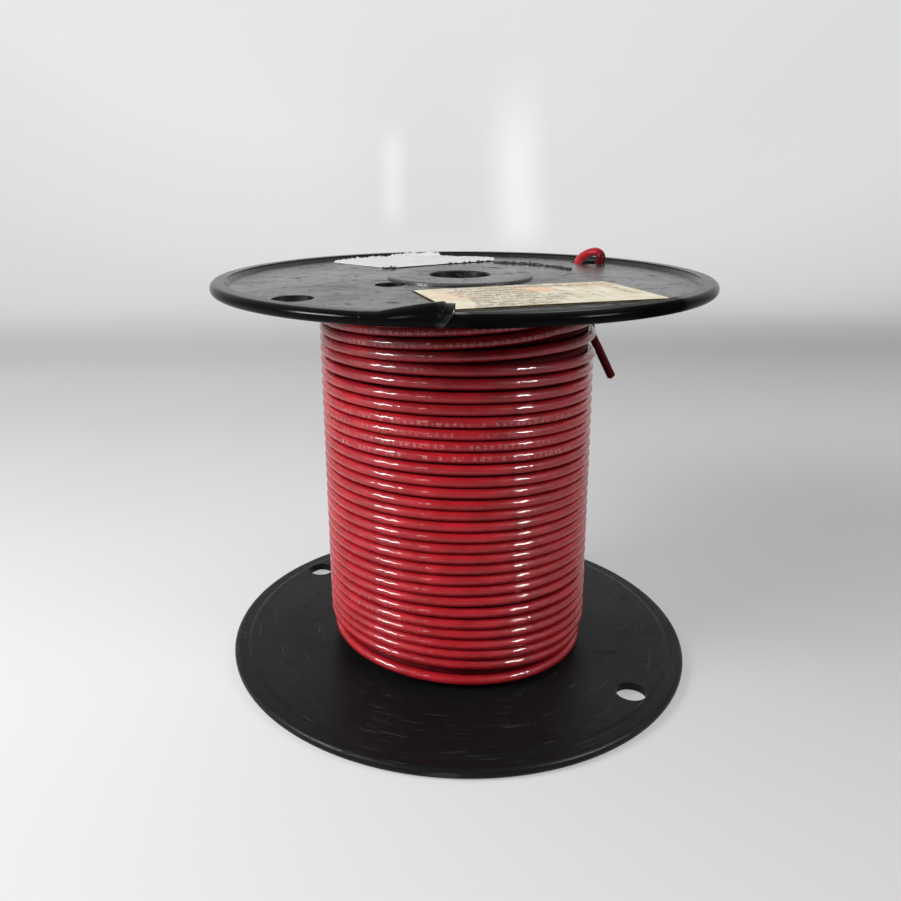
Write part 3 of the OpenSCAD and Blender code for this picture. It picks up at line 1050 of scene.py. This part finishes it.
def buildGum():
    random.seed(gum["seed"])
    points, heading = [], []

    def drop(x, y, clear, direction):
        points.append(Vector((x, y, faceHeight(math.hypot(x, y)) + clear)) * mm)
        heading.append(direction)

    second, first = gum["angles"][0], gum["angles"][-1]
    for i in range(gum["flakes"]):
        angle = first + (second - first) * (i + random.random() * 0.8) / gum["flakes"]
        if noise.noise(Vector((angle * 0.35, 2.2, 0))) < gum["bare"]:
            continue
        r = float(np.interp(angle, gum["angles"], gum["radii"])) + random.uniform(-0.7, 0.7)
        a = math.radians(angle)
        drop(r * math.cos(a), r * math.sin(a), 0.04, a + math.pi / 2)
    # Specks along the straight edge of the torn paper
    near, right = Vector(torn["near"]), Vector(torn["right"])
    way = (right - near).normalized()
    for _ in range(gum["specks"]):
        share = 0.55 + 0.45 * random.random()
        p = near.lerp(right, share) + Vector((way.y, -way.x)) * random.uniform(0.1, 0.9)
        drop(p.x, p.y, 0.05, math.atan2(way.y, way.x))
    # The lump at the square corner
    for _ in range(gum["lumps"]):
        p = near + Vector((random.uniform(-1.8, 2.6), random.uniform(-1.4, 1.2)))
        drop(p.x, p.y, 0.05, random.uniform(0, math.pi))
    piece = runTree("gumResidue", newMesh("gumPoints", points, heading=heading), buildFlakes(), {
        "Flake Size": gum["flakeSize"] * mm, "Seed": gum["seed"], "Material": buildOldGum()})
    carry(piece)


buildTornLabel()
buildGum()
print("torn label laid")

# The rim is cracked at the front: a length of the bead is bent up and its end has broken off
flap = {
    "from": -112.0,
    "tip": -94.6,
    "steps": 44,
    "slantSteps": 9,          # at the broken end
    "slant": 2.3,             # degrees that the lower edge ends earlier than the top
    "proud": 0.12,
    "lift": ((-112, 0.0), (-109, 0.05), (-105, 1.1), (-101, 2.1), (-97, 2.8), (-96.6, 2.75),
             (-96.4, 2.3), (-94.6, 2.3)),
    "hollow": ((0.35, 0.72), (0.7, 0.55)),    # rings of the broken face: depth and size
    "facets": 0.0002,
    "tear": (0.09, 0.088, 0.085, 1.0),
}


def flapSection(angle):
    # Outline of the bent bead at one direction, as radius and height over the rim's face
    lift = float(np.interp(angle, *zip(*flap["lift"])))
    grow = min(1.0, (angle - flap["from"]) / 6.0)
    out = flap["proud"] * grow
    low = -spool["beadDeep"] - out
    return [(76.9, -1.3 + lift * 0.35), (77.5, lift - 0.25), (78.1, lift + 0.02),
            (79.3, lift + 0.12 * grow), (80.7, lift + 0.05 * grow), (81.7, lift * 0.8 - 0.25),
            (82.35 + out, lift * 0.5 - 0.9), (82.5 + out, -1.8), (82.4 + out, -2.6),
            (81.9 + out, -3.2), (81.0 + out * 0.5, low), (79.5, low), (78.2, low + 0.02)]


def buildCrackedPlastic():
    material, tree = newMaterial("crackedPlastic")
    chips = objectPoint(tree).clouds(900.0, 4.0, 0.7, 0.6)
    broken = attributeOf(tree, "broken")
    white = chips.step(0.5, 0.72) * broken
    # The flap is drawn in the bead's black, which is painted deeper as shade
    return finishMaterial(material, {
        "Base Color": (white * 0.5).blend(plastic["shadedBeadBlack"], flap["tear"]), "IOR": 1.5,
        "Specular IOR Level": broken.scaled(0.5, plastic["beadShine"]),
        "Specular Tint": plastic["glint"], "Roughness": white.scaled(0.3, 0.15),
        "Normal": (chips * broken).bump(0.6, 0.0003)})


def buildFlap():
    steps, slantSteps = flap["steps"], flap["slantSteps"]
    verts = []
    for k in range(steps + 1):
        angle = flap["from"] + (flap["tip"] - flap["from"]) * k / steps
        # The broken end slants: the lower outside ends earlier than the top
        reach = max(0.0, (k - (steps - slantSteps)) / slantSteps)
        for r, dz in flapSection(angle):
            short = max(0.0, -dz - 0.2) / spool["beadDeep"] * flap["slant"]
            short += max(0.0, r - 81.5) * 0.25
            jag = 0.12 * noise.noise(Vector((r * 1.7, dz * 1.9, k * 0.4)))
            a = math.radians(angle + (jag - short) * reach)
            verts.append(Vector((r * math.cos(a), r * math.sin(a), spool["height"] + dz)) * mm)
    count = len(verts) // (steps + 1)
    faces = tubeFaces(steps + 1, count)
    faces.append(tuple(reversed(range(count))))
    # The broken face: rings that sink towards the middle, with rough facets
    ring = [steps * count + j for j in range(count)]
    middle = sum((verts[i] for i in ring), Vector()) / count
    for depth, shrink in flap["hollow"]:
        fresh = [len(verts) + j for j in range(count)]
        for i in ring:
            q = middle.lerp(verts[i], shrink)
            a = math.atan2(q.y, q.x) - math.radians(0.5 * depth)
            r = math.hypot(q.x, q.y)
            wild = noise.noise(q * 900.0) * flap["facets"]
            verts.append(Vector((r * math.cos(a) + wild, r * math.sin(a), q.z + wild)))
        faces += [(ring[j], fresh[j], fresh[(j + 1) % count], ring[(j + 1) % count])
                  for j in range(count)]
        ring = fresh
    verts.append(middle + Vector((-0.0006, 0, 0)))
    faces += [(ring[j], len(verts) - 1, ring[(j + 1) % count]) for j in range(count)]
    broken = [min(1.0, max(0.0, 1 - (steps - i // count) / slantSteps)) for i in range(len(verts))]
    mesh = newMesh("rimFlap", verts, faces, broken=broken)
    fix = bmesh.new()
    fix.from_mesh(mesh)
    bmesh.ops.recalc_face_normals(fix, faces=fix.faces)
    fix.to_mesh(mesh)
    fix.free()
    for polygon in mesh.polygons:
        polygon.use_smooth = polygon.index < steps * count
    addPiece("rimFlap", mesh, buildCrackedPlastic())
    print("rim flap built")


buildFlap()

# Floor, wall and lights
studio = {
    "wallRadius": 1.15,
    "wallHeight": 0.75,
    "curve": 0.3,             # radius of the bend between floor and wall
    "curveSteps": 12,
    "flatSteps": 30,
    "sectors": 120,
    # Azimuth and distance, height, size, power, and whether it makes the shine or the light
    "lights": {
        "leftLight": (207, 0.65, 0.30, (0.24, 0.09), 5.9, True),
        "leftFill": (205, 0.8, 0.55, (0.4, 0.4), 11.0, False),
        "rightFill": (-30, 0.8, 0.55, (0.4, 0.4), 4.0, False),
        "frontFill": (-105, 0.9, 0.5, (0.4, 0.4), 0.45, False),
        "rightLight": (-34, 0.65, 0.375, (0.155, 0.06), 4.2, True),
        "smallLight": (240, 0.65, 0.30, (0.08, 0.10), 0.35, True),
    },
    "aim": (0, 0, 0.07),
    "sky": (0.655, 0.66, 0.67, 1),
    "skyStrength": 0.94,
    "skyFront": 0.05,
    "bounce": 0.5,            # share of the floor's tone that other surfaces receive
    "litShare": 0.4,
    # Painted light and shade: the tone of the ground from front to back, then up the wall, on the
    # left and on the right, darker in a band before the wall and on the right
    "along": (-0.4, -0.1, 0.0, 0.12, 0.26, 0.40, 0.56, 0.74, 0.95, 1.2, 1.75),
    "left": (0.72, 0.745, 0.765, 0.71, 0.62, 0.59, 0.575, 0.755, 0.865, 0.99, 1.12),
    "right": (0.59, 0.565, 0.52, 0.49, 0.535, 0.48, 0.455, 0.70, 0.855, 0.89, 0.96),
    "front": (-0.62, -0.3, 0.2, 1.0),    # where the wall in front darkens, and to what share
    # Painted light: bright upright patches on the wall, the last a faint painted shade: place,
    # half width, from, full, full, to, strength
    "glows": ((-0.030, 0.03, 1.05, 1.13, 1.2, 1.27, 0.13),
              (0.165, 0.06, 0.98, 1.08, 1.15, 1.36, 0.19),
              (0.02, 0.2, 1.0, 1.1, 1.2, 1.5, -0.04)),
}


def stageMesh():
    # A bowl: a flat floor, a wide curve and a low wall. Each point keeps its way along it
    wall, curve, count = studio["wallRadius"], studio["curve"], studio["sectors"]
    rows = [(r, -0.0002, r) for r in np.linspace(0.02, wall - curve, studio["flatSteps"])]
    for k in range(1, studio["curveSteps"] + 1):
        a = math.pi / 2 * k / studio["curveSteps"]
        rows.append((wall - curve + curve * math.sin(a), curve - curve * math.cos(a),
                     wall - curve + curve * a))
    rows.append((wall, studio["wallHeight"], rows[-1][2] + studio["wallHeight"] - curve))
    turns = [2 * math.pi * i / count for i in range(count)]
    verts = [(r * math.cos(a), r * math.sin(a), z) for r, z, way in rows for a in turns]
    # Distance to the back, which goes on up the wall
    backWay = [way * math.sin(a) for r, z, way in rows for a in turns]
    center = len(verts)
    faces = [(center, i, (i + 1) % count) for i in range(count)] + tubeFaces(len(rows), count)
    return newMesh("studioFloor", verts + [(0, 0, rows[0][1])], faces, backWay=backWay + [0.0])


def buildStage():
    material, tree = newMaterial("studioPaintedLight")
    tree.nodes.clear()
    back = attributeOf(tree, "backWay")
    x = objectPoint(tree).split()[0]
    low, high = studio["along"][0], studio["along"][-1]
    place = addSignal(tree, "ShaderNodeMapRange", {
        "Value": back, "From Min": low, "From Max": high})

    def ramp(values):
        made = addNode(tree, "ShaderNodeValToRGB", {0: place})
        made.color_ramp.interpolation = "CARDINAL"
        stops = made.color_ramp.elements
        for stop in studio["along"][1:-1]:
            stops.new((stop - low) / (high - low))
        for element, value in zip(stops, values):
            element.color = (value, value, value, 1)
        return Signal(made.outputs[0])

    aside = (x / (back.calc("ABSOLUTE") + 0.32)).step(-0.35, 0.5)
    tone = aside.blend(ramp(studio["left"]), ramp(studio["right"]))
    ray = outputsOf(addNode(tree, "ShaderNodeLightPath"))
    dim = ray["Is Camera Ray"].calc("MAXIMUM", back.step(*studio["front"]))
    tone = tone.tinted(joinVector(dim, dim, dim))
    gain = 1.0
    for at, half, start, full, fullTo, end, strength in studio["glows"]:
        upright = back.step(start, full) * back.step(end, fullTo)
        beside = (x - at).calc("ABSOLUTE").step(half, 0.0)
        gain = (beside * upright).scaled(strength, gain)
    tone = tone.tinted(joinVector(gain, gain, gain))

    def diffuse(share):
        return addSignal(tree, "ShaderNodeBsdfDiffuse", {
            "Color": tone.tinted((share, share, share, 1))})

    lit = diffuse(studio["litShare"])
    glow = addSignal(tree, "ShaderNodeEmission", {
        "Color": tone, "Strength": 1.0 - studio["litShare"]})
    seen = addSignal(tree, "ShaderNodeAddShader", {0: lit, 1: glow})
    # What is seen straight or in a mirror, and what the floor gives to other surfaces
    direct = ray["Is Camera Ray"].calc("MAXIMUM", ray["Is Glossy Ray"].calc(
        "MAXIMUM", ray["Is Transmission Ray"]))
    mix = addSignal(tree, "ShaderNodeMixShader", {
        0: direct, 1: diffuse(studio["bounce"]), 2: seen})
    addNode(tree, "ShaderNodeOutputMaterial", {"Surface": mix})
    mesh = stageMesh()
    mesh.materials.append(material)
    addObject("studioFloor", mesh)


def addLight(name, azimuth, distance, height, size, power, shiny):
    data = bpy.data.lights.new(name, "AREA")
    data.shape = "RECTANGLE"
    data.size, data.size_y = size
    data.energy = power
    light = addObject(name, data)
    a = math.radians(azimuth)
    place = Vector((distance * math.cos(a), distance * math.sin(a), height))
    turn = (Vector(studio["aim"]) - place).to_track_quat("-Z", "Y").to_matrix().to_4x4()
    light.matrix_world = Matrix.Translation(place) @ turn
    light.visible_camera = False
    # The small lights make the shine and the fills give the light, so that each is set by itself
    light.visible_glossy = shiny
    light.visible_diffuse = not shiny


def buildWorld():
    world = bpy.data.worlds.new("studioWorld")
    scene.world = world
    world.use_nodes = True
    tree = world.node_tree
    background = tree.nodes["Background"]
    background.inputs["Color"].default_value = studio["sky"]
    # Less comes from the front than from above and behind
    y, z = addSignal(tree, "ShaderNodeTexCoord", output="Generated").split()[1:]
    across = y.step(-0.7, 0.4, studio["skyFront"], studio["skyStrength"])
    feed(across * z.step(0.2, 0.95, 0.8, 1.35), background.inputs["Strength"])


buildStage()
for name, settings in studio["lights"].items():
    addLight(name, *settings)
buildWorld()
print("studio built")
